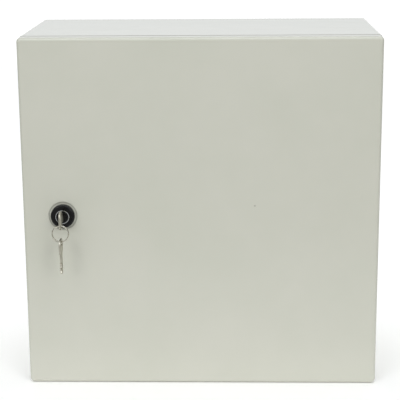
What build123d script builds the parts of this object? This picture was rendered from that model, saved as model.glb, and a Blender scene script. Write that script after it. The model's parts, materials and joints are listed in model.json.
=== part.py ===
from build123d import *
import os
from math import cos, hypot, radians

# Steel wall enclosure: a folded body, a hinged door with a keyed cam lock, a mounting plate and a
# gland plate.
# The origin is on the wall, in the middle of the rear face. +X is to the right and +Z is up as seen from the
# front, and the door faces -Y. Depths are distances forward from the wall, so depth d lies at y = -d.
# All sizes are in millimetres.

# Overall sizes
width = 400.0
height = 400.0
depth = 200.0

# Sheet thicknesses
body_sheet = 1.2
rear_sheet = 1.5
door_sheet = 1.5
plate_sheet = 2.0
gland_sheet = 1.5
bracket_sheet = 2.0

# Radii of folds and corners, measured on the outside
body_corner_r = 4.0
rim_fold_r = 2.5
upstand_corner_r = 8.0
upstand_fold_r = 2.4
door_corner_r = 5.0
door_fold_r = 3.8

# Door, rim and seal
door_return = 14.0
upstand_height = 9.0
seal_width = 9.0
seal_edge_r = 2.0
seal_clearance = 0.3
weld_clearance = 0.05

# Hinges
hinge_inset = 5.5
hinge_back = 6.5
hinge_end_inset = 65.0
swing_clearance = 0.8
knuckle_r = 3.3
knuckle_length = 22.0
knuckle_gap = 0.4
lug_length = 12.0
lug_reach = 5.0
hinge_pin_r = 1.6
hinge_bore_clearance = 0.05
pin_head_r = 2.8
pin_head_thick = 1.5
pin_tail = 2.5
clip_r = 2.8
clip_thick = 0.8
clip_groove_depth = 0.35
clip_clearance = 0.1
foot_length = 54.0
foot_clearance = 0.4
notch_clearance = 4.0
bracket_screw_spacing = 38.0
bracket_screw_tail = 1.0

# Wall fixing
wall_hole_inset = 25.0
wall_hole_r = 4.25

# Mounting plate and its fixings
plate_margin = 8.2
plate_corner_notch = 20.0
plate_standoff = 20.0
plate_stud_inset_x = 20.0
plate_stud_inset_z = 45.0
spacer_r = 8.0

# Gland opening in the bottom wall
gland_width = 240.0
gland_run = 90.0
gland_corner_r = 6.0
gland_margin = 14.0
gland_gasket_thick = 3.0
gland_studs_along = 4

# Earth studs
earth_inset = 80.0
earth_stud_proud = 7.0
door_earth_inset = 45.0

# Screw threads: nominal radius and pitch, nut and washer sizes
m4_r = 2.0
m4_nut_flats = 7.0
m4_nut_thick = 3.2
m4_head_r = 3.5
m4_head_thick = 2.2
m5_r = 2.5
m5_pitch = 0.8
m5_nut_flats = 8.0
m5_nut_thick = 4.7
m5_flange_r = 5.6
m5_flange_thick = 1.1
m5_head_r = 4.5
m5_head_thick = 3.0
m6_r = 3.0
m6_pitch = 1.0
m6_nut_flats = 10.0
m6_nut_thick = 5.2
m6_washer_r = 6.0
m6_washer_thick = 1.6
m8_r = 4.0
m8_pitch = 1.25
m8_nut_flats = 13.0
m8_nut_thick = 6.8
m8_washer_r = 8.0
m8_washer_thick = 1.6
thread_clearance = 0.1
hole_clearance = 0.4
stud_proud = 3.5
thread_depth_per_pitch = 0.55
nut_corner_cut = 0.8
head_edge_r = 0.8
cross_width = 1.0
cross_arm_share = 0.6
cross_depth = 1.2

# Lock
lock_inset = 45.0
dish_r = 16.4
dish_floor_r = 15.0
dish_depth = 1.2
dish_edge_r = 0.5
lock_gasket_thick = 0.8
lock_head_r = 13.5
lock_head_thick = 5.0
lock_head_edge_r = 1.8
lock_well_r = 9.8
lock_well_depth = 0.7
barrel_r = 11.0
barrel_pitch = 1.5
barrel_flats = 20.0
barrel_behind_door = 12.5
barrel_clearance = 0.15
lock_nut_flats = 27.0
lock_nut_thick = 5.0
plug_r = 7.0
plug_clearance = 0.05
plug_proud = 0.8
bezel_r = 7.7
bezel_proud = 0.6
wafer_count = 4
wafer_pitch = 2.8
wafer_first = 2.6
wafer_width = 5.0
wafer_height = 12.0
wafer_thick = 1.0
wafer_clearance = 0.12
wafer_window_clearance = 0.24
cam_thick = 2.5
cam_width = 18.0
cam_hook = 9.0
cam_clearance = 1.5
cam_square = 7.0
cam_square_clearance = 0.08
cam_grip = 0.1
cam_washer_r = 6.5
cam_washer_thick = 1.2
cam_screw_length = 8.0

# Keys
key_thick = 2.0
blade_length = 22.5
blade_height = 8.5
blade_tip = 2.2
blade_neck = 8.5
blade_groove_width = 1.6
blade_groove_depth = 0.45
bow_length = 17.0
bow_height = 20.0
bow_corner_r = 6.5
key_slot_width = 5.0
key_slot_height = 12.0
key_slot_corner_r = 1.5
key_slot_land = 2.0
slot_edge_land = 0.1
bow_edge_r = 0.4
key_inserted = 15.0
keyway_clearance = 0.15
bit_depths = (0.9, 1.5, 0.6, 1.2)
bit_pitch = 2.8
bit_first = 3.6
bit_half_width = 1.1

# Key ring
ring_r = 9.7
ring_wire_r = 0.6
ring_coil_gap = 0.05
ring_coils = 2
ring_clearance = 0.25
spare_clearance = 0.45

# How closely an edge has to lie to a place to be taken as the one there
match_tolerance = 0.01

# Depths and places that follow from the sizes above
hinge_x = width / 2 - hinge_inset
hinge_depth = depth - hinge_back
return_behind_hinge = door_return - hinge_back
return_swing_r = hypot(hinge_inset, return_behind_hinge)
return_edge = depth - door_return
rim_depth = hinge_depth - return_swing_r - swing_clearance
gutter = hinge_inset + return_swing_r + swing_clearance
upstand_edge = rim_depth + upstand_height
lip_back = rim_depth - body_sheet
mouth_width = width - 2 * (gutter + body_sheet)
mouth_height = height - 2 * (gutter + body_sheet)
upstand_inner_r = upstand_corner_r - body_sheet
door_inner = depth - door_sheet
seal_middle = gutter + body_sheet / 2
seal_back = upstand_edge + seal_clearance
hinge_spacing = height - 2 * hinge_end_inset
hinge_heights = (-hinge_spacing / 2, hinge_spacing / 2)
foot_left = width / 2 - gutter + upstand_fold_r - body_sheet + foot_clearance
foot_right = hinge_x - knuckle_r + bracket_sheet
bracket_screw_x = (foot_left + foot_right) / 2
notch_length = foot_length + 2 * notch_clearance
notch_floor = depth - door_fold_r - foot_clearance
lug_start = knuckle_length / 2 + knuckle_gap
lug_end = lug_start + lug_length
plate_width = mouth_width - 2 * plate_margin
plate_height = mouth_height - 2 * plate_margin
plate_back = rear_sheet + plate_standoff
plate_front = plate_back + plate_sheet
wall_hole_x = width / 2 - wall_hole_inset
wall_hole_z = height / 2 - wall_hole_inset
floor_z = body_sheet - height / 2
gland_centre = (rear_sheet + lip_back) / 2
gland_gasket_top = floor_z + gland_gasket_thick
gland_plate_top = gland_gasket_top + gland_sheet
inner_wall_x = width / 2 - body_sheet
earth_x = (plate_width / 2 + inner_wall_x) / 2
earth_z = earth_inset - height / 2
door_earth_x = width / 2 - door_earth_inset
door_earth_z = door_earth_inset - height / 2
lock_x = lock_inset - width / 2
dish_floor = depth - dish_depth
dish_back = dish_floor - door_sheet
lock_head_back = dish_floor + lock_gasket_thick
lock_head_front = lock_head_back + lock_head_thick
barrel_end = dish_back - barrel_behind_door
plug_face = lock_head_front + plug_proud
cam_front = lip_back - cam_clearance
cam_back = cam_front - cam_thick
cam_length = width / 2 - gutter + cam_hook + lock_x
key_tip = plug_face - key_inserted
key_length = blade_length + bow_length
slot_from_tip = key_length - key_slot_land - key_slot_width / 2
slot_edge_r = key_thick / 2 - slot_edge_land
ring_depth = key_tip + slot_from_tip
ring_mid_r = ring_r - ring_wire_r
ring_pitch = 2 * ring_wire_r + ring_coil_gap
ring_z = ring_wire_r + ring_clearance - key_slot_height / 2 - ring_mid_r
ring_low_z = ring_z - ring_mid_r
spare_top_z = ring_low_z + ring_wire_r + spare_clearance + key_slot_land

# Turns that take an upright piece to face the front or the wall
to_front = Rot(90, 0, 0)
to_wall = Rot(-90, 0, 0)
base = (Align.CENTER, Align.CENTER, Align.MIN)


def at(x, d, z):
    return Pos(x, -d, z)


def slab(outline, back, front):
    # An outline in the wall plane, filled between two depths
    return extrude(Plane.XZ.offset(back) * outline, amount=front - back)


def rounded_slab(across, up, corner_r, back, front, edge_r):
    # A slab with rounded corners whose front edges are rounded over
    block = slab(RectangleRounded(across, up, corner_r), back, front)
    return fillet(block.faces().sort_by(Axis.Y)[0].edges(), edge_r)


def rod(radius, length):
    return Cylinder(radius, length, align=base)


def tube(radius, bore_r, length):
    return rod(radius, length) - rod(bore_r, length)


def threaded_rod(radius, pitch, length):
    # Turned from a saw-tooth outline, one tooth to each turn of the thread
    turns = max(1, round(length / pitch))
    step = length / turns
    root_r = radius - thread_depth_per_pitch * pitch
    points = [(0, 0, 0), (root_r, 0, 0)]
    for turn in range(turns):
        points.append((radius, 0, (turn + 0.5) * step))
        points.append((root_r, 0, (turn + 1) * step))
    points.append((0, 0, length))
    return revolve(make_face(Polyline(*points, close=True)), Axis.Z)


def hex_nut(flats, thick, bore_r):
    flat_r = flats / 2
    corner_r = flat_r / cos(radians(30))
    prism = extrude(RegularPolygon(flat_r, 6, major_radius=False), amount=thick)
    blank = rod(corner_r, thick)
    turned = chamfer(blank.edges().filter_by(GeomType.CIRCLE), nut_corner_cut * (corner_r - flat_r))
    return (prism & turned) - rod(bore_r, thick)


def flange_nut():
    return hex_nut(m5_nut_flats, m5_nut_thick, m5_r + thread_clearance) + tube(
        m5_flange_r, m5_r + thread_clearance, m5_flange_thick
    )


def cross_screw(shank_r, grip, head_r, head_thick):
    # The head stands up from the origin and the shank goes down
    head = rod(head_r, head_thick)
    head = fillet(head.edges().sort_by(Axis.Z)[-1], head_edge_r)
    arm = Box(2 * cross_arm_share * head_r, cross_width, 2 * cross_depth)
    recess = Pos(0, 0, head_thick) * (arm + Rot(0, 0, 90) * arm)
    return head + Pos(0, 0, -grip) * rod(shank_r, grip) - recess


def group(solids):
    return Compound(list(solids))


# Body


def body_wrap():
    outer = rounded_slab(width, height, body_corner_r, 0, rim_depth, rim_fold_r)
    hollow = rounded_slab(
        width - 2 * body_sheet,
        height - 2 * body_sheet,
        body_corner_r - body_sheet,
        -body_sheet,
        lip_back,
        rim_fold_r - body_sheet,
    )
    mouth = RectangleRounded(mouth_width, mouth_height, upstand_inner_r)
    upstand = RectangleRounded(width - 2 * gutter, height - 2 * gutter, upstand_corner_r)
    shell = outer - hollow + slab(upstand, lip_back, upstand_edge) - slab(mouth, 0, depth)
    inside_corner = [e for e in shell.edges() if on_upstand(e, rim_depth, gutter)]
    shell = fillet(inside_corner, upstand_fold_r - body_sheet)
    outside_corner = [e for e in shell.edges() if on_upstand(e, lip_back, gutter + body_sheet)]
    shell = fillet(outside_corner, upstand_fold_r)
    opening = RectangleRounded(gland_width, gland_run, gland_corner_r)
    shell -= at(0, gland_centre, -height / 2) * extrude(opening, amount=body_sheet)
    for x, z in bracket_screw_places():
        shell -= at(x, lip_back, z) * to_front * rod(m4_r + hole_clearance, body_sheet)
    return shell


def on_upstand(edge, at_depth, inset):
    # Edges that run round the upstand at a depth and a distance in from the outer walls
    middle = edge.center()
    spread = max(abs(middle.X) - width / 2, abs(middle.Z) - height / 2) + inset
    flat = edge.bounding_box().size.Y < match_tolerance and abs(middle.Y + at_depth) < match_tolerance
    return flat and -upstand_corner_r < spread < match_tolerance


def rear_panel():
    inset = body_sheet + weld_clearance
    sheet = slab(
        RectangleRounded(width - 2 * inset, height - 2 * inset, body_corner_r - inset), 0, rear_sheet
    )
    for x in (-wall_hole_x, wall_hole_x):
        for z in (-wall_hole_z, wall_hole_z):
            sheet -= at(x, 0, z) * to_front * rod(wall_hole_r, rear_sheet)
    return sheet


# Mounting plate


def plate_stud_places():
    x = plate_width / 2 - plate_stud_inset_x
    z = plate_height / 2 - plate_stud_inset_z
    return [(-x, -z), (-x, z), (x, -z), (x, z)]


def on_plate_studs(piece, at_depth):
    return group(at(x, at_depth, z) * to_front * piece for x, z in plate_stud_places())


def mounting_plate():
    notch = Rectangle(2 * plate_corner_notch, 2 * plate_corner_notch)
    outline = Rectangle(plate_width, plate_height)
    for x in (-plate_width / 2, plate_width / 2):
        for z in (-plate_height / 2, plate_height / 2):
            outline -= Pos(x, z) * notch
    for x, z in plate_stud_places():
        outline -= Pos(x, z) * Circle(m8_r + hole_clearance)
    return slab(outline, plate_back, plate_front)


def plate_fixings():
    stack = plate_standoff + plate_sheet + m8_washer_thick + m8_nut_thick
    stud = threaded_rod(m8_r, m8_pitch, stack + stud_proud)
    spacer = tube(spacer_r, m8_r + hole_clearance, plate_standoff)
    washer = tube(m8_washer_r, m8_r + hole_clearance, m8_washer_thick)
    nut = hex_nut(m8_nut_flats, m8_nut_thick, m8_r + thread_clearance)
    return {
        "plate_studs": on_plate_studs(stud, rear_sheet),
        "plate_spacers": on_plate_studs(spacer, rear_sheet),
        "plate_washers": on_plate_studs(washer, plate_front),
        "plate_nuts": on_plate_studs(nut, plate_front + m8_washer_thick),
    }


# Gland opening in the bottom


def gland_stud_places():
    # A row along each long side of the opening, in the middle of the margin
    reach = gland_width / 2 + gland_margin / 2
    run = gland_run / 2 + gland_margin / 2
    step = 2 * reach / (gland_studs_along - 1)
    places = []
    for index in range(gland_studs_along):
        for side in (-run, run):
            places.append((index * step - reach, gland_centre + side))
    return places


def on_gland_studs(piece, z):
    return group(at(x, d, z) * piece for x, d in gland_stud_places())


def gland_outline():
    outline = RectangleRounded(gland_width + 2 * gland_margin, gland_run + 2 * gland_margin, gland_corner_r)
    for x, d in gland_stud_places():
        outline -= Pos(x, gland_centre - d) * Circle(m5_r + hole_clearance)
    return outline


def gland_parts():
    opening = RectangleRounded(gland_width, gland_run, gland_corner_r)
    stack = gland_gasket_thick + gland_sheet + m5_nut_thick
    return {
        "gland_gasket": at(0, gland_centre, floor_z)
        * extrude(gland_outline() - opening, amount=gland_gasket_thick),
        "gland_plate": at(0, gland_centre, gland_gasket_top) * extrude(gland_outline(), amount=gland_sheet),
        "gland_studs": on_gland_studs(threaded_rod(m5_r, m5_pitch, stack + stud_proud), floor_z),
        "gland_nuts": on_gland_studs(flange_nut(), gland_plate_top),
    }


# Earth studs


def earth_set(name, place):
    stack = m6_washer_thick + m6_nut_thick
    return {
        name + "_stud": place * threaded_rod(m6_r, m6_pitch, stack + earth_stud_proud),
        name + "_washer": place * tube(m6_washer_r, m6_r + hole_clearance, m6_washer_thick),
        name + "_nut": place
        * Pos(0, 0, m6_washer_thick)
        * hex_nut(m6_nut_flats, m6_nut_thick, m6_r + thread_clearance),
    }


# Hinges


def bracket_screw_places():
    half = bracket_screw_spacing / 2
    return [(bracket_screw_x, z + side) for z in hinge_heights for side in (-half, half)]


def upright(outline, z, length):
    # An outline in plan, stood up around the middle height z
    return Pos(0, 0, z - length / 2) * extrude(outline, amount=length)


def plan_box(x0, x1, back, front):
    return Pos((x0 + x1) / 2, -(back + front) / 2) * Rectangle(x1 - x0, front - back)


def hinge_axis():
    return Pos(hinge_x, -hinge_depth)


def hinge_bracket(z):
    # A foot on the rim's lip, and a web that carries the barrel forward of it
    foot = upright(plan_box(foot_left, foot_right, rim_depth, rim_depth + bracket_sheet), z, foot_length)
    web = plan_box(hinge_x - knuckle_r, foot_right, rim_depth, hinge_depth)
    web += hinge_axis() * Circle(knuckle_r)
    bore = hinge_axis() * Circle(hinge_pin_r + hinge_bore_clearance)
    bracket = foot + upright(web - bore, z, knuckle_length)
    for x, screw_z in bracket_screw_places():
        bracket -= at(x, rim_depth, screw_z) * to_front * rod(m4_r + hole_clearance, bracket_sheet)
    return bracket


def hinge_lugs(z):
    # Two blocks on the inside of the door, above and below the bracket's barrel
    seat_right = width / 2 - door_fold_r
    outline = plan_box(hinge_x - lug_reach, seat_right, hinge_depth, door_inner)
    outline += hinge_axis() * Circle(knuckle_r)
    outline -= hinge_axis() * Circle(hinge_pin_r + hinge_bore_clearance)
    middle = (lug_start + lug_end) / 2
    return group(upright(outline, z + side * middle, lug_length) for side in (-1, 1))


def hinge_pin(z):
    length = 2 * lug_end + pin_tail
    groove = tube(pin_head_r, hinge_pin_r - clip_groove_depth, clip_thick + 2 * clip_clearance)
    pin = Pos(0, 0, -lug_end - pin_tail) * rod(hinge_pin_r, length) + Pos(0, 0, lug_end) * rod(
        pin_head_r, pin_head_thick
    )
    pin -= Pos(0, 0, -lug_end - clip_thick - 2 * clip_clearance) * groove
    return hinge_axis() * Pos(0, 0, z) * pin


def pin_clip(z):
    # An open ring in the groove at the lower end of the pin
    neck_r = hinge_pin_r - clip_groove_depth + clip_clearance
    ring = tube(clip_r, neck_r, clip_thick) - Pos(clip_r, 0, clip_thick / 2) * Box(
        2 * clip_r, 2 * neck_r, clip_thick
    )
    return hinge_axis() * Pos(0, 0, z - lug_end - clip_clearance - clip_thick) * ring


def hinge_parts():
    grip = bracket_sheet + body_sheet + m4_nut_thick + bracket_screw_tail
    screw = cross_screw(m4_r, grip, m4_head_r, m4_head_thick)
    nut = hex_nut(m4_nut_flats, m4_nut_thick, m4_r + thread_clearance)
    low, high = hinge_heights
    return {
        "lower_hinge_bracket": hinge_bracket(low),
        "upper_hinge_bracket": hinge_bracket(high),
        "lower_hinge_lugs": hinge_lugs(low),
        "upper_hinge_lugs": hinge_lugs(high),
        "lower_hinge_pin": hinge_pin(low),
        "upper_hinge_pin": hinge_pin(high),
        "hinge_pin_clips": group(pin_clip(z) for z in hinge_heights),
        "bracket_screws": group(
            at(x, rim_depth + bracket_sheet, z) * to_front * screw for x, z in bracket_screw_places()
        ),
        "bracket_nuts": group(
            at(x, lip_back - m4_nut_thick, z) * to_front * nut for x, z in bracket_screw_places()
        ),
    }


# Door


def at_lock(d):
    return at(lock_x, d, 0) * to_front


def door_panel():
    outer = rounded_slab(width, height, door_corner_r, return_edge, depth, door_fold_r)
    hollow = rounded_slab(
        width - 2 * door_sheet,
        height - 2 * door_sheet,
        door_corner_r - door_sheet,
        return_edge - door_sheet,
        door_inner,
        door_fold_r - door_sheet,
    )
    panel = outer - hollow
    wall = door_sheet / 2
    panel += at_lock(dish_back) * Cone(dish_floor_r + wall, dish_r + wall, dish_depth, align=base)
    dish = Cone(dish_floor_r, dish_r, dish_depth, align=base)
    panel -= at_lock(dish_floor) * dish
    rims = [e for e in panel.edges().filter_by(GeomType.CIRCLE) if on_dish(e)]
    panel = fillet(rims, dish_edge_r)
    hole = Circle(barrel_r + barrel_clearance) & Rectangle(
        barrel_flats + 2 * barrel_clearance, 4 * barrel_r
    )
    panel -= at_lock(dish_back) * extrude(hole, amount=door_sheet)
    notch = plan_box(width / 2 - door_fold_r, width / 2, return_edge, notch_floor)
    for z in hinge_heights:
        panel -= upright(notch, z, notch_length)
    return panel


def on_dish(edge):
    rims = ((dish_r, depth), (dish_floor_r, dish_floor))
    gaps = [hypot(edge.radius - r, edge.center().Y + d) for r, d in rims]
    return min(gaps) < match_tolerance


def door_gasket():
    grow = 2 * seal_middle - seal_width
    shrink = 2 * seal_middle + seal_width
    corner = upstand_inner_r + seal_width / 2
    outer = slab(RectangleRounded(width - grow, height - grow, corner), seal_back, door_inner)
    inner = RectangleRounded(width - shrink, height - shrink, corner - seal_width / 2)
    bead = outer - slab(inner, seal_back, door_inner)
    return fillet(bead.faces().sort_by(Axis.Y)[-1].edges(), seal_edge_r)


# Lock


def lock_housing():
    head = rod(lock_head_r, lock_head_thick)
    head = fillet(head.edges().sort_by(Axis.Z)[-1], lock_head_edge_r)
    head -= Pos(0, 0, lock_head_thick - lock_well_depth) * rod(lock_well_r, lock_well_depth)
    barrel_length = lock_head_back - barrel_end
    barrel = threaded_rod(barrel_r, barrel_pitch, barrel_length)
    barrel &= Box(barrel_flats, 4 * barrel_r, barrel_length, align=base)
    bore = rod(plug_r + plug_clearance, barrel_length + lock_head_thick)
    return at_lock(lock_head_back) * head + at_lock(barrel_end) * barrel - at_lock(barrel_end) * bore


def wafer_depths():
    first = plug_face - wafer_first - wafer_thick
    return [first - index * wafer_pitch for index in range(wafer_count)]


def keyway(clearance):
    gap = 2 * clearance
    return Box(key_thick + gap, blade_height + gap, key_inserted + clearance, align=base)


def lock_plug():
    body = rod(plug_r, plug_face - cam_front)
    square = Pos(0, 0, cam_grip - cam_thick) * Box(cam_square, cam_square, cam_thick - cam_grip, align=base)
    plug = at_lock(cam_front) * (body + square)
    plug -= at_lock(key_tip - keyway_clearance) * keyway(keyway_clearance)
    gap = 2 * wafer_clearance
    for d in wafer_depths():
        slot = Box(wafer_width + gap, wafer_height + gap, wafer_thick + gap, align=base)
        plug -= at_lock(d - wafer_clearance) * slot
    return plug - at_lock(cam_back) * rod(m5_r + thread_clearance, cam_screw_length)


def lock_wafers():
    gap = 2 * wafer_window_clearance
    window = Box(key_thick + gap, blade_height + gap, wafer_thick, align=base)
    wafer = Box(wafer_width, wafer_height, wafer_thick, align=base) - window
    return group(at_lock(d) * wafer for d in wafer_depths())


def lock_cam():
    # Hangs down when the lock is open
    reach = cam_length
    outline = Circle(cam_width / 2) + Pos(0, -reach / 2) * Rectangle(cam_width, reach)
    outline = fillet(outline.vertices().group_by(Axis.Y)[0], cam_width / 4)
    square = cam_square + 2 * cam_square_clearance
    return at_lock(cam_back) * extrude(outline - Rectangle(square, square), amount=cam_thick)


def lock_parts():
    nut_bore = barrel_r + thread_clearance
    cam_screw = cross_screw(m5_r, cam_screw_length - cam_washer_thick, m5_head_r, m5_head_thick)
    seat = lock_well_depth
    gasket_hole = Circle(barrel_r + barrel_clearance)
    return {
        "lock_housing": lock_housing(),
        "lock_gasket": at_lock(dish_floor)
        * extrude(Circle(lock_head_r - barrel_clearance) - gasket_hole, amount=lock_gasket_thick),
        "lock_nut": at_lock(dish_back - lock_nut_thick) * hex_nut(lock_nut_flats, lock_nut_thick, nut_bore),
        "lock_plug": lock_plug(),
        "plug_bezel": at_lock(lock_head_front - seat)
        * tube(bezel_r, plug_r + plug_clearance, seat + plug_proud + bezel_proud),
        "lock_wafers": lock_wafers(),
        "lock_cam": lock_cam(),
        "cam_washer": at_lock(cam_back - cam_washer_thick)
        * tube(cam_washer_r, m5_r + hole_clearance, cam_washer_thick),
        "cam_screw": at(lock_x, cam_back - cam_washer_thick, 0) * to_wall * cam_screw,
    }


# Keys and ring


def blade_outline():
    # The tip is at the origin and both edges carry the same cuts
    half = blade_height / 2
    upper = [(0, half - blade_tip), (blade_tip, half)]
    for index, cut in enumerate(bit_depths):
        u = bit_first + index * bit_pitch
        upper += [(u - bit_half_width, half), (u, half - cut), (u + bit_half_width, half)]
    upper.append((blade_length + bow_edge_r, half))
    lower = [(u, -v) for u, v in reversed(upper)]
    return Polygon(*upper, *lower, align=None)


def key():
    # Lies flat with its tip at the origin and its bow towards +X
    bow = Pos(blade_length + bow_length / 2, 0) * RectangleRounded(bow_length, bow_height, bow_corner_r)
    slot = Pos(slot_from_tip, 0) * RectangleRounded(key_slot_width, key_slot_height, key_slot_corner_r)
    blank = extrude(bow - slot, amount=key_thick / 2, both=True)
    blank = fillet([e for e in blank.edges() if on_key_face(e) and in_slot(e)], slot_edge_r)
    blank = fillet([e for e in blank.edges() if on_key_face(e) and on_bow_edge(e)], bow_edge_r)
    blade = extrude(blade_outline(), amount=key_thick / 2, both=True)
    groove = Pos((blade_length - blade_neck) / 2, 0, 0) * Box(
        blade_length - blade_neck, blade_groove_width, 2 * blade_groove_depth
    )
    for side in (-1, 1):
        blade -= Pos(0, 0, side * key_thick / 2) * groove
    return blank + blade


def on_key_face(edge):
    return abs(abs(edge.center().Z) - key_thick / 2) < match_tolerance


def slot_gap(edge):
    # How far an edge lies outside the slot's outline
    middle = edge.center()
    return max(abs(middle.X - slot_from_tip) - key_slot_width / 2, abs(middle.Y) - key_slot_height / 2)


def in_slot(edge):
    return slot_gap(edge) < match_tolerance


def on_bow_edge(edge):
    return slot_gap(edge) > slot_edge_r + match_tolerance


def lock_key():
    # Bow forward, on edge, in the plug
    return at(lock_x, key_tip, 0) * Rot(0, 0, -90) * Rot(90, 0, 0) * key()


def spare_key():
    # Hangs on the ring with its tip down
    return at(lock_x, ring_depth, spare_top_z - key_length) * Rot(0, -90, 0) * key()


def key_ring():
    # A wire wound in two touching coils, its ends at the side
    run = ring_coils * ring_pitch
    path = Helix(ring_pitch, run, ring_mid_r, center=(0, 0, -run / 2))
    section = Plane(origin=path @ 0, z_dir=path % 0) * Circle(ring_wire_r)
    return at(lock_x, ring_depth, ring_z) * to_front * sweep(section, path=path, is_frenet=True)


def build():
    nodes = {
        "body_wrap": body_wrap(),
        "rear_panel": rear_panel(),
        "mounting_plate": mounting_plate(),
        "door_panel": door_panel(),
        "door_gasket": door_gasket(),
        "lock_key": lock_key(),
        "key_ring": key_ring(),
        "spare_key": spare_key(),
    }
    nodes.update(plate_fixings())
    nodes.update(gland_parts())
    nodes.update(earth_set("body_earth", at(earth_x, rear_sheet, earth_z) * to_front))
    nodes.update(earth_set("door_earth", at(door_earth_x, door_inner, door_earth_z) * to_wall))
    nodes.update(hinge_parts())
    nodes.update(lock_parts())
    return nodes


os.makedirs("parts", exist_ok=True)
for name, shape in build().items():
    export_step(shape, os.path.join("parts", name + ".step"))
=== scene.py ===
import json
import math

import bpy
from mathutils import Matrix, Vector, noise


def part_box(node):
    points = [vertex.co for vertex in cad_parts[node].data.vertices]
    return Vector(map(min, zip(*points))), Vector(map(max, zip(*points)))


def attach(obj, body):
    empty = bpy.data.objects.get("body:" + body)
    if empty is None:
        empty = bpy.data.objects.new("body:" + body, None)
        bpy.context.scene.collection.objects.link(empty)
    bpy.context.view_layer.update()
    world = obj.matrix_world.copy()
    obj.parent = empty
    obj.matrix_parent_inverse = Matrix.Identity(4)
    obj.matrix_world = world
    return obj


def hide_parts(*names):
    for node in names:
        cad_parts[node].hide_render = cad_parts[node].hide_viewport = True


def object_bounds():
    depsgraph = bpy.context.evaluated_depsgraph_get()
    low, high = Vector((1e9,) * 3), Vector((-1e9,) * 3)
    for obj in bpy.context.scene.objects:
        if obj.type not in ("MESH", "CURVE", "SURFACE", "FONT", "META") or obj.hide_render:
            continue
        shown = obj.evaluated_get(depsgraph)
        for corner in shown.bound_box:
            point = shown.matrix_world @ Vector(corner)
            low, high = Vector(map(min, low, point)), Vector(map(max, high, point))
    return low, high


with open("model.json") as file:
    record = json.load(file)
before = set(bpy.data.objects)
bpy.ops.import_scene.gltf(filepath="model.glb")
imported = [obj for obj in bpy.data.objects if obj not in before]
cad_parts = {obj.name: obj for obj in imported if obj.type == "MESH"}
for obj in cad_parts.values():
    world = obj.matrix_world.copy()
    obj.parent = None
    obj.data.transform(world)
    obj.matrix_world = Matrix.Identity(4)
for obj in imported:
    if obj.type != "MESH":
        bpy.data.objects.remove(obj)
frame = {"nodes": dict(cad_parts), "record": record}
nodes = frame["nodes"]
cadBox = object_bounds()  # the CAD model's own box, before anything is added
doorLow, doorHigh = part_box("door_panel")
halfWidth = cadBox[1][0]
mm = 0.001
print("frame loaded with", len(nodes), "nodes")


def linear(hexColour):  # an sRGB hex value as linear red, green, blue and alpha
    channels = [int(hexColour[i : i + 2], 16) / 255 for i in (1, 3, 5)]
    return [c / 12.92 if c <= 0.04045 else ((c + 0.055) / 1.055) ** 2.4 for c in channels] + [1.0]


def perMetre(sizeMm):  # texture scale for a pattern whose features are this many millimetres across
    return 1000 / sizeMm


# One node with its settings, plain values and links. A colour ramp also has stops, lowest first. In a
# colour mix, socket 0 is the share, 6 and 7 are the two colours, and output 2 is the result.
def addNode(tree, kind, values=None, links=None, stops=None, **settings):
    node = tree.nodes.new(kind)
    for name, value in settings.items():
        setattr(node, name, value)
    for socket, value in (values or {}).items():
        node.inputs[socket].default_value = value
    for socket, source in (links or {}).items():
        tree.links.new(source, node.inputs[socket])
    for index, (position, colour) in enumerate(stops or ()):
        elements = node.color_ramp.elements
        element = elements[index] if index < len(elements) else elements.new(position)
        element.position = position
        element.color = linear(colour)
    return node


def newMaterial(name, **shaderValues):  # a new material and its shader, with the plain values set
    material = bpy.data.materials.new(name)
    material.use_nodes = True
    shader = material.node_tree.nodes["Principled BSDF"]
    for socket, value in shaderValues.items():
        shader.inputs[socket.replace("_", " ")].default_value = value
    return material, material.node_tree, shader


# Sheet steel with a baked polyester powder coat: semi-gloss, faint orange peel, tiny colour drift, and a
# painted shade line in the gap behind the door.
paint = {
    "shade": "#cacbbf",
    "colour": "#cecec3",
    "driftMm": 90.0,
    "driftStops": (0.3, 0.7),  # shares of the drift where the shade ends and the full colour starts
    "peelMm": 2.6,
    "peelDepthMm": 0.05,
    "grainMm": 0.5,  # finer on a real coat, and drawn this coarse so that it shows close up
    "grainDepthMm": 0.02,
    "roughness": (0.15, 0.2),
    "ior": 1.54,
    "speckX": 0.0606,  # one grain of dirt baked into the front of the door
    "speckZ": 0.0115,
    "speckMm": (0.4, 1.3),  # the radius of its core, and of its faded rim
    "speckColour": "#a3a296",
    "gapShadeColour": "#8f8e84",  # painted shade on the body's fold, in the gap behind the door, where the door's edge keeps light out
    "gapMiddleMm": 3.0,  # from the door's back edge to the middle of that gap
    "gapShadeReachMm": (2.2, 1.4),  # from the gap's middle: where the painted shade ends, and where it is full
    "gapShadeInsetMm": (7.0, 2.5),  # in from the outer walls: where it ends, and where it is full
}


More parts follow.
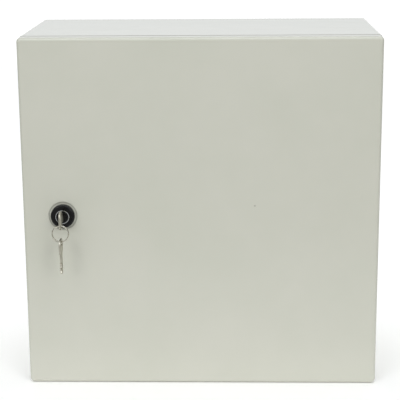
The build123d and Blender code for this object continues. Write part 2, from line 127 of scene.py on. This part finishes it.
def paintedGapShade(tree, place):  # how much painted shade lies at a place on the coat, from 0 to 1: it stands for the shadow in the gap behind the door
    spot = addNode(tree, "ShaderNodeSeparateXYZ", links={"Vector": place})
    gapMiddle = doorHigh.y + paint["gapMiddleMm"] * mm
    behind = addNode(tree, "ShaderNodeMath", {1: gapMiddle}, {0: spot.outputs["Y"]}, operation="SUBTRACT")
    fromGap = addNode(tree, "ShaderNodeMath", links={0: behind.outputs["Value"]}, operation="ABSOLUTE")
    end, full = (reach * mm for reach in paint["gapShadeReachMm"])
    inGap = addNode(
        tree,
        "ShaderNodeMapRange",
        {"From Min": end, "From Max": full},
        {"Value": fromGap.outputs["Value"]},
    )
    aside = addNode(tree, "ShaderNodeMath", links={0: spot.outputs["X"]}, operation="ABSOLUTE")
    above = addNode(tree, "ShaderNodeMath", links={0: spot.outputs["Z"]}, operation="ABSOLUTE")
    outward = addNode(
        tree,
        "ShaderNodeMath",
        links={0: aside.outputs["Value"], 1: above.outputs["Value"]},
        operation="MAXIMUM",
    )
    end, full = (halfWidth - inset * mm for inset in paint["gapShadeInsetMm"])
    onFold = addNode(
        tree,
        "ShaderNodeMapRange",
        {"From Min": end, "From Max": full},
        {"Value": outward.outputs["Value"]},
    )
    shadeShare = addNode(
        tree,
        "ShaderNodeMath",
        links={0: inGap.outputs["Result"], 1: onFold.outputs["Result"]},
        operation="MULTIPLY",
    )
    return shadeShare.outputs["Value"]


def powderCoatedSteel():
    material, tree, shader = newMaterial("powderCoatedSteel", IOR=paint["ior"])
    place = addNode(tree, "ShaderNodeTexCoord").outputs["Object"]  # in metres
    drift = addNode(
        tree,
        "ShaderNodeTexNoise",
        {"Scale": perMetre(paint["driftMm"]), "Detail": 3.0, "Roughness": 0.6},
        {"Vector": place},
    )
    coat = addNode(
        tree,
        "ShaderNodeValToRGB",
        links={"Fac": drift.outputs["Fac"]},
        stops=zip(paint["driftStops"], (paint["shade"], paint["colour"])),
    )
    speckPlace = (paint["speckX"], doorLow.y, paint["speckZ"])
    fromSpeck = addNode(tree, "ShaderNodeVectorMath", {1: speckPlace}, {0: place}, operation="DISTANCE")
    core, rim = (radius * mm for radius in paint["speckMm"])
    clean = addNode(
        tree,
        "ShaderNodeMapRange",
        {"From Min": core, "From Max": rim},
        {"Value": fromSpeck.outputs["Value"]},
    )
    specked = addNode(
        tree,
        "ShaderNodeMix",
        {6: linear(paint["speckColour"])},
        {0: clean.outputs["Result"], 7: coat.outputs["Color"]},
        data_type="RGBA",
    )
    # painted shade: the coat darkens on the body's fold in the gap behind the door, where shadow falls
    gapShaded = addNode(
        tree,
        "ShaderNodeMix",
        {7: linear(paint["gapShadeColour"])},
        {0: paintedGapShade(tree, place), 6: specked.outputs[2]},
        data_type="RGBA",
    )
    tree.links.new(gapShaded.outputs[2], shader.inputs["Base Color"])
    smooth, rough = paint["roughness"]
    gloss = addNode(
        tree,
        "ShaderNodeMapRange",
        {"To Min": smooth, "To Max": rough},
        {"Value": drift.outputs["Fac"]},
    )
    tree.links.new(gloss.outputs["Result"], shader.inputs["Roughness"])
    grain = addNode(
        tree,
        "ShaderNodeTexNoise",
        {"Scale": perMetre(paint["grainMm"]), "Detail": 1.0},
        {"Vector": place},
    )
    fine = addNode(
        tree,
        "ShaderNodeBump",
        {"Strength": 0.05, "Distance": paint["grainDepthMm"] * mm},
        {"Height": grain.outputs["Fac"]},
    )
    peel = addNode(
        tree,
        "ShaderNodeTexNoise",
        {"Scale": perMetre(paint["peelMm"]), "Detail": 2.0},
        {"Vector": place},
    )
    skin = addNode(
        tree,
        "ShaderNodeBump",
        {"Strength": 0.25, "Distance": paint["peelDepthMm"] * mm},
        {"Height": peel.outputs["Fac"], "Normal": fine.outputs["Normal"]},
    )
    tree.links.new(skin.outputs["Normal"], shader.inputs["Normal"])
    return material


# The colour of a skin from dark to light, and its roughness, each following a pattern from 0 to 1.
def twoTones(tree, shader, look, stops, colourShare, glossShare):
    tones = addNode(
        tree,
        "ShaderNodeValToRGB",
        links={"Fac": colourShare},
        stops=zip(stops, (look["dark"], look["light"])),
    )
    tree.links.new(tones.outputs["Color"], shader.inputs["Base Color"])
    smooth, rough = look["roughness"]
    gloss = addNode(tree, "ShaderNodeMapRange", {"To Min": smooth, "To Max": rough}, {"Value": glossShare})
    tree.links.new(gloss.outputs["Result"], shader.inputs["Roughness"])


# Hot-dip galvanised sheet: grey zinc crystals of many tints, each a little different in gloss.
galvanised = {
    "dark": "#8f9496",
    "light": "#b9bfc1",
    "roughness": (0.28, 0.5),
    "tintStops": (0.0, 1.0),
    "spangleMm": 9.0,
    "bendMm": 6.0,  # the crystals' edges bend about this often, and up to bendReachMm aside
    "bendReachMm": 4.0,
    "featherMm": 1.2,
    "featherDepthMm": 0.03,
}


def galvanisedSheet():
    material, tree, shader = newMaterial("galvanisedSheet", Metallic=1.0)
    place = addNode(tree, "ShaderNodeTexCoord").outputs["Object"]
    bend = addNode(
        tree,
        "ShaderNodeTexNoise",
        {"Scale": perMetre(galvanised["bendMm"]), "Detail": 3.0},
        {"Vector": place},
    )
    reach = galvanised["bendReachMm"] * mm
    offset = addNode(
        tree,
        "ShaderNodeVectorMath",
        {1: (reach, reach, reach)},
        {0: bend.outputs["Color"]},
        operation="MULTIPLY",
    )
    moved = addNode(
        tree,
        "ShaderNodeVectorMath",
        links={0: place, 1: offset.outputs["Vector"]},
        operation="ADD",
    )
    crystals = addNode(
        tree,
        "ShaderNodeTexVoronoi",
        {"Scale": perMetre(galvanised["spangleMm"])},
        {"Vector": moved.outputs["Vector"]},
    )
    tint = addNode(tree, "ShaderNodeSeparateColor", links={"Color": crystals.outputs["Color"]})
    shares = tint.outputs["Red"], tint.outputs["Green"]
    twoTones(tree, shader, galvanised, galvanised["tintStops"], *shares)
    feather = addNode(
        tree,
        "ShaderNodeTexNoise",
        {"Scale": perMetre(galvanised["featherMm"]), "Detail": 4.0},
        {"Vector": place},
    )
    skin = addNode(
        tree,
        "ShaderNodeBump",
        {"Strength": 0.15, "Distance": galvanised["featherDepthMm"] * mm},
        {"Height": feather.outputs["Fac"]},
    )
    tree.links.new(skin.outputs["Normal"], shader.inputs["Normal"])
    return material


# Plated and bare metals: zinc is a cool cloudy silver, nickel warm and bright, chrome a mirror, stamped
# nickel silver a dull warm grey, stamped brass yellow.
plating = {
    "zincPlatedSteel": {"dark": "#a3a8ab", "light": "#d0d4d6", "roughness": (0.22, 0.42), "cloudMm": 5.0},
    "nickelPlatedWire": {"dark": "#a19e92", "light": "#cfccc0", "roughness": (0.08, 0.2), "cloudMm": 3.0},
    "chromePlatedBrass": {"dark": "#d5d7d9", "light": "#e9eaec", "roughness": (0.05, 0.12), "cloudMm": 4.0},
    "stampedNickelSilver": {
        "dark": "#a8a598",
        "light": "#cdcabd",
        "roughness": (0.34, 0.46),
        "cloudMm": 9.0,
    },
    "stampedBrass": {"dark": "#a8842f", "light": "#d9b860", "roughness": (0.25, 0.45), "cloudMm": 2.0},
}
platingSkin = {
    "cloudStops": (0.32, 0.66),
    "scuffMm": 0.6,  # real scuffs are finer, and are drawn this coarse so that they show close up
    "scuffDepthMm": 0.02,
}


def platedMetal(name):
    look = plating[name]
    material, tree, shader = newMaterial(name, Metallic=1.0)
    place = addNode(tree, "ShaderNodeTexCoord").outputs["Object"]
    cloud = addNode(
        tree,
        "ShaderNodeTexNoise",
        {"Scale": perMetre(look["cloudMm"]), "Detail": 4.0, "Roughness": 0.65},
        {"Vector": place},
    ).outputs["Fac"]
    twoTones(tree, shader, look, platingSkin["cloudStops"], cloud, cloud)
    scuff = addNode(
        tree,
        "ShaderNodeTexNoise",
        {"Scale": perMetre(platingSkin["scuffMm"]), "Detail": 3.0},
        {"Vector": place},
    )
    skin = addNode(
        tree,
        "ShaderNodeBump",
        {"Strength": 0.12, "Distance": platingSkin["scuffDepthMm"] * mm},
        {"Height": scuff.outputs["Fac"]},
    )
    tree.links.new(skin.outputs["Normal"], shader.inputs["Normal"])
    return material


# Black skins: a die casting with a smooth black coat, foam with pores, and calendered rubber sheet.
blacks = {
    "blackDieCasting": {
        "dark": "#08080a",
        "light": "#111112",
        "roughness": (0.14, 0.22),
        "ior": 1.38,
        "grainMm": 0.7,
        "bump": 0.15,
    },
    "foamedPolyurethane": {
        "dark": "#17181a",
        "light": "#2b2c2e",
        "roughness": (0.62, 0.85),
        "ior": 1.5,
        "grainMm": 0.9,
        "bump": 0.6,
    },
    "rubberSheet": {
        "dark": "#161617",
        "light": "#232324",
        "roughness": (0.55, 0.75),
        "ior": 1.52,
        "grainMm": 0.5,
        "bump": 0.3,
    },
}
blackSkin = {"grainStops": (0.35, 0.7), "grainDepthMm": 0.1}


def blackSurface(name):
    look = blacks[name]
    material, tree, shader = newMaterial(name, IOR=look["ior"])
    place = addNode(tree, "ShaderNodeTexCoord").outputs["Object"]
    grain = addNode(
        tree,
        "ShaderNodeTexNoise",
        {"Scale": perMetre(look["grainMm"]), "Detail": 4.0, "Roughness": 0.6},
        {"Vector": place},
    ).outputs["Fac"]
    twoTones(tree, shader, look, blackSkin["grainStops"], grain, grain)
    skin = addNode(
        tree,
        "ShaderNodeBump",
        {"Strength": look["bump"], "Distance": blackSkin["grainDepthMm"] * mm},
        {"Height": grain},
    )
    tree.links.new(skin.outputs["Normal"], shader.inputs["Normal"])
    return material


finishes = {
    "paint": powderCoatedSteel(),
    "galvanised": galvanisedSheet(),
    "zinc": platedMetal("zincPlatedSteel"),
    "foam": blackSurface("foamedPolyurethane"),
    "rubber": blackSurface("rubberSheet"),
    "black_casting": blackSurface("blackDieCasting"),
    "chrome": platedMetal("chromePlatedBrass"),
    "brass": platedMetal("stampedBrass"),
    "nickel": platedMetal("nickelPlatedWire"),
}
for part in frame["record"]["subparts"]:
    mesh = nodes[part["node"]].data
    mesh.materials.clear()
    mesh.materials.append(finishes[part["material_slot"]])
keyMetal = platedMetal("stampedNickelSilver")  # the keys are duller than the ring that holds them
for name in ("lock_key", "spare_key"):
    nodes[name].data.materials[0] = keyMetal
print("finishes on", len(nodes), "nodes")


def addMesh(name, points, faces, slot, body):  # a new piece with its finish, riding on a body
    mesh = bpy.data.meshes.new(name)
    mesh.from_pydata(points, [], faces)
    mesh.materials.append(finishes[slot])
    mesh.shade_smooth()
    piece = bpy.data.objects.new(name, mesh)
    bpy.context.scene.collection.objects.link(piece)
    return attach(piece, body)


# Foamed-in-place door gasket: a domed bead with the rim's pressed line along its crown.
gasket = {
    "widthMm": 9.0,
    "cornerMm": 6.8,
    "cornerSteps": 10,
    "stepMm": 6.0,
    "wobbleMm": 0.22,  # how uneven the foam's skin is
    "wobblePerMetre": 60,
    "wobbleRise": 0.02,  # how far the wobble's pattern moves on from the bead's foot to its crown, in metres
    # The section's left side: across as a share of the half width, and up as a share of the height
    "foot": [(-1.0, 0.0), (-1.0, 0.35)],
    "dome": [(-0.96, 0.62), (-0.84, 0.84), (-0.64, 0.96), (-0.42, 1.0), (-0.22, 0.99)],
    "pressedLine": (0.0, 0.91),
}


def beadProfile():  # the whole section, from one foot over the crown to the other
    side = gasket["foot"] + gasket["dome"]
    return side + [gasket["pressedLine"]] + [(-across, up) for across, up in reversed(side)]


def beadPath(halfX, halfZ, radius):  # points and outward directions round the bead's middle line
    path = []
    for quarter, (signX, signZ) in enumerate(((1, 1), (-1, 1), (-1, -1), (1, -1))):
        middle = Vector((signX * (halfX - radius), signZ * (halfZ - radius)))
        for step in range(gasket["cornerSteps"] + 1):
            angle = math.radians(90) * (quarter + step / gasket["cornerSteps"])
            out = Vector((math.cos(angle), math.sin(angle)))
            path.append((middle + radius * out, out))
    filled = []
    for (point, out), (nextPoint, nextOut) in zip(path, path[1:] + path[:1]):
        count = max(1, round((nextPoint - point).length / (gasket["stepMm"] * mm)))
        for step in range(count):
            share = step / count
            filled.append((point.lerp(nextPoint, share), out.lerp(nextOut, share).normalized()))
    return filled


def doorGasketBead():
    low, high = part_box("door_gasket")
    halfBead = gasket["widthMm"] * mm / 2
    path = beadPath(high.x - halfBead, high.z - halfBead, gasket["cornerMm"] * mm)
    profile = beadProfile()
    height = high.y - low.y
    most = gasket["wobbleMm"] * mm
    points = []
    for point, out in path:
        for across, up in profile:
            spot = point + across * halfBead * out
            pattern = Vector((spot.x, spot.y, up * gasket["wobbleRise"])) * gasket["wobblePerMetre"]
            wobble = noise.noise(pattern) * most
            lift = max(0.0, min(height, up * (height - most) + up * wobble))
            points.append((spot.x, low.y + lift, spot.y))
    ring = len(profile)
    faces = []
    for index in range(len(path)):
        here, ahead = index * ring, (index + 1) % len(path) * ring
        for step in range(ring):
            beside = (step + 1) % ring
            faces.append((here + step, here + beside, ahead + beside, ahead + step))
    bead = addMesh("doorGasketBead", points, faces, "foam", "door")
    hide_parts("door_gasket")


doorGasketBead()
print("door gasket made")

# White paper on a pale grey floor. It ends half a metre before the door, which mirrors it below its middle.
# Sizes are in metres, and a place along the floor is its Y.
floor = {
    "reach": 6.0,
    "backEdge": 2.5,
    "gap": 0.0005,  # below the box
    "paper": "#f5f5f3",
    "bare": "#b4b4b0",
    "paperFront": -0.71,
    "frontFade": 0.09,
    "paperHalfWidth": 0.95,
    "paperSpread": 1.5,  # how much wider the paper is for each metre further back
    "spreadFrom": -0.2,
    "sideFade": 0.38,
    "mottleMm": 30.0,
    "roughness": (0.5, 0.7),
    "glow": "#ffffff",  # stands for light that the paper gets from further soft boxes
    "doorGlow": (-0.32, -0.26, 0.22),  # before the door: where it starts, where it is full, how bright
    "backGlow": (-0.2, 0.1, 0.2),  # more of it beside and behind the box
    "contact": (-0.006, 0.001),  # no glow under the box, so that its foot stays dark
}


def paperShare(tree, along, aside):  # 1 on the paper and 0 on the bare floor, with soft edges
    behind = addNode(tree, "ShaderNodeMath", {1: floor["spreadFrom"]}, {0: along}, operation="MAXIMUM")
    edge = addNode(
        tree,
        "ShaderNodeMath",
        {1: floor["paperSpread"], 2: floor["paperHalfWidth"]},
        {0: behind.outputs["Value"]},
        operation="MULTIPLY_ADD",
    )
    inside = addNode(
        tree,
        "ShaderNodeMath",
        links={0: edge.outputs["Value"], 1: aside},
        operation="SUBTRACT",
    )
    sides = addNode(
        tree,
        "ShaderNodeMapRange",
        {"From Min": 0.0, "From Max": floor["sideFade"]},
        {"Value": inside.outputs["Value"]},
        interpolation_type="SMOOTHSTEP",
    )
    front, fade = floor["paperFront"], floor["frontFade"]
    frontEdge = addNode(
        tree,
        "ShaderNodeMapRange",
        {"From Min": front - fade, "From Max": front + fade},
        {"Value": along},
        interpolation_type="SMOOTHSTEP",
    )
    share = addNode(
        tree,
        "ShaderNodeMath",
        links={0: sides.outputs["Result"], 1: frontEdge.outputs["Result"]},
        operation="MULTIPLY",
    )
    return share.outputs["Value"]


def paperGlow(tree, along):  # the glow before the door and behind it, added up
    glows = []
    for name in ("doorGlow", "backGlow"):
        begin, full, strength = floor[name]
        glow = addNode(
            tree,
            "ShaderNodeMapRange",
            {"From Min": begin, "From Max": full, "To Max": strength},
            {"Value": along},
        )
        glows.append(glow.outputs["Result"])
    total = addNode(tree, "ShaderNodeMath", links={0: glows[0], 1: glows[1]}, operation="ADD")
    return total.outputs["Value"]


def clearOfBox(tree, along, aside):  # 0 under the box and 1 outside its foot
    halfDepth = -doorLow.y / 2
    beside = addNode(tree, "ShaderNodeMath", {1: halfWidth}, {0: aside}, operation="SUBTRACT")
    fromMiddle = addNode(tree, "ShaderNodeMath", {1: halfDepth}, {0: along}, operation="ADD")
    foreAft = addNode(tree, "ShaderNodeMath", links={0: fromMiddle.outputs["Value"]}, operation="ABSOLUTE")
    before = addNode(
        tree,
        "ShaderNodeMath",
        {1: halfDepth},
        {0: foreAft.outputs["Value"]},
        operation="SUBTRACT",
    )
    outside = addNode(
        tree,
        "ShaderNodeMath",
        links={0: beside.outputs["Value"], 1: before.outputs["Value"]},
        operation="MAXIMUM",
    )
    start, full = floor["contact"]
    clear = addNode(
        tree,
        "ShaderNodeMapRange",
        {"From Min": start, "From Max": full},
        {"Value": outside.outputs["Value"]},
    )
    return clear.outputs["Result"]


# Matt white paper: bright, with a soft sheen that is a little uneven.
def whitePaper():
    material, tree, shader = newMaterial("whitePaper", Emission_Color=linear(floor["glow"]))
    place = addNode(tree, "ShaderNodeTexCoord").outputs["Object"]
    spot = addNode(tree, "ShaderNodeSeparateXYZ", links={"Vector": place})
    along = spot.outputs["Y"]
    aside = addNode(
        tree, "ShaderNodeMath", links={0: spot.outputs["X"]}, operation="ABSOLUTE"
    ).outputs["Value"]
    onPaper = paperShare(tree, along, aside)
    tones = addNode(
        tree,
        "ShaderNodeValToRGB",
        links={"Fac": onPaper},
        stops=[(0.0, floor["bare"]), (1.0, floor["paper"])],
    )
    tree.links.new(tones.outputs["Color"], shader.inputs["Base Color"])
    mottle = addNode(
        tree,
        "ShaderNodeTexNoise",
        {"Scale": perMetre(floor["mottleMm"]), "Detail": 2.0},
        {"Vector": place},
    )
    smooth, rough = floor["roughness"]
    gloss = addNode(
        tree,
        "ShaderNodeMapRange",
        {"To Min": smooth, "To Max": rough},
        {"Value": mottle.outputs["Fac"]},
    )
    tree.links.new(gloss.outputs["Result"], shader.inputs["Roughness"])
    lit = addNode(
        tree,
        "ShaderNodeMath",
        links={0: paperGlow(tree, along), 1: onPaper},
        operation="MULTIPLY",
    )
    seen = addNode(
        tree,
        "ShaderNodeMath",
        links={0: lit.outputs["Value"], 1: clearOfBox(tree, along, aside)},
        operation="MULTIPLY",
    )
    tree.links.new(seen.outputs["Value"], shader.inputs["Emission Strength"])
    return material


def paleFloor():
    reach, back = floor["reach"], floor["backEdge"]
    corners = [(-reach, -reach, 0), (reach, -reach, 0), (reach, back, 0), (-reach, back, 0)]
    mesh = bpy.data.meshes.new("paleFloor")
    mesh.from_pydata(corners, [], [(0, 1, 2, 3)])
    mesh.materials.append(whitePaper())
    ground = bpy.data.objects.new("paleFloor", mesh)
    ground.location.z = cadBox[0][2] - floor["gap"]
    bpy.context.scene.collection.objects.link(ground)


# Two soft boxes far out before the door, left and right, and a small one above its front: where each one
# stands and aims, its size in metres, its power in watts and its colour.
lights = {
    "leftSoftBox": ((-2.3, -3.8, 1.5), (0, -0.2, 0), (1.8, 1.8), 33.5, "#fffefa"),
    "rightSoftBox": ((2.3, -3.8, 1.5), (0, -0.2, 0), (1.8, 1.8), 33.5, "#fffefa"),
    "overheadSoftBox": ((0, -0.8, 1.05), (0, -0.2, 0.1), (1.2, 0.5), 5.2, "#f8faff"),
}


def softLight(name, place, aim, size, power, colour):
    light = bpy.data.lights.new(name, "AREA")
    light.shape = "RECTANGLE"
    light.size, light.size_y = size
    light.energy = power
    light.color = linear(colour)[:3]
    lamp = bpy.data.objects.new(name, light)
    lamp.location = place
    lamp.rotation_euler = (Vector(aim) - Vector(place)).to_track_quat("-Z", "Y").to_euler()
    bpy.context.scene.collection.objects.link(lamp)


# White paper behind, and a grey room in front, dimmest below eye level and light overhead. Each colour
# stands at a height from -1, straight down, to 1, straight up.
room = {
    "front": [(-0.1, "#7d7d78"), (0.2, "#92928e"), (0.9, "#caccd0")],
    "behind": [(-0.04, "#ffffff"), (0.08, "#eceef0"), (0.9, "#f4f6fa")],
    "behindFrom": (0.6, 0.88),  # the direction's Y where the paper behind starts, and where it is full
    "strength": 1.1,
}


def studioRoom():
    world = bpy.data.worlds.new("studioRoom")
    bpy.context.scene.world = world
    world.use_nodes = True
    tree = world.node_tree
    direction = addNode(tree, "ShaderNodeTexCoord").outputs["Generated"]
    spot = addNode(tree, "ShaderNodeSeparateXYZ", links={"Vector": direction})
    height = addNode(
        tree,
        "ShaderNodeMapRange",
        {"From Min": -1.0, "From Max": 1.0},
        {"Value": spot.outputs["Z"]},
    )
    sides = []
    for side in ("front", "behind"):
        tones = addNode(
            tree,
            "ShaderNodeValToRGB",
            links={"Fac": height.outputs["Result"]},
            stops=[((z + 1) / 2, colour) for z, colour in room[side]],
        )
        sides.append(tones.outputs["Color"])
    start, full = room["behindFrom"]
    behind = addNode(
        tree,
        "ShaderNodeMapRange",
        {"From Min": start, "From Max": full},
        {"Value": spot.outputs["Y"]},
    )
    allRound = addNode(
        tree,
        "ShaderNodeMix",
        links={0: behind.outputs["Result"], 6: sides[0], 7: sides[1]},
        data_type="RGBA",
    )
    background = tree.nodes["Background"]
    background.inputs["Strength"].default_value = room["strength"]
    tree.links.new(allRound.outputs[2], background.inputs["Color"])


# Camera worked out from the photograph's edges: its place in metres, its turns in degrees.
view = {
    "place": (0.039, -1.541, 0.351),
    "yaw": -1.695,
    "pitch": 13.93,
    "roll": -0.45,
    "focalPixels": 1236.4,
    "framePixels": 400,
    "sensorMm": 36.0,
    "clipStart": 0.01,
}


def photoCamera():
    yaw, pitch, roll = (math.radians(view[turn]) for turn in ("yaw", "pitch", "roll"))
    level = math.cos(pitch)
    forward = Vector((math.sin(yaw) * level, math.cos(yaw) * level, -math.sin(pitch)))
    right = Vector((math.cos(yaw), -math.sin(yaw), 0))
    up = right.cross(forward)
    turnedRight = right * math.cos(roll) + up * math.sin(roll)
    turnedUp = up * math.cos(roll) - right * math.sin(roll)
    lens = bpy.data.cameras.new("photoCamera")
    lens.sensor_fit = "HORIZONTAL"
    lens.sensor_width = view["sensorMm"]
    lens.lens = view["focalPixels"] / view["framePixels"] * view["sensorMm"]
    lens.clip_start = view["clipStart"]
    camera = bpy.data.objects.new("photoCamera", lens)
    stance = Matrix((turnedRight, turnedUp, -forward)).transposed()
    camera.matrix_world = Matrix.Translation(view["place"]) @ stance.to_4x4()
    bpy.context.scene.collection.objects.link(camera)
    bpy.context.scene.camera = camera


paleFloor()
for name, settings in lights.items():
    softLight(name, *settings)
studioRoom()
photoCamera()
bpy.context.scene.view_settings.view_transform = "Standard"
print("stage, lights and camera set")
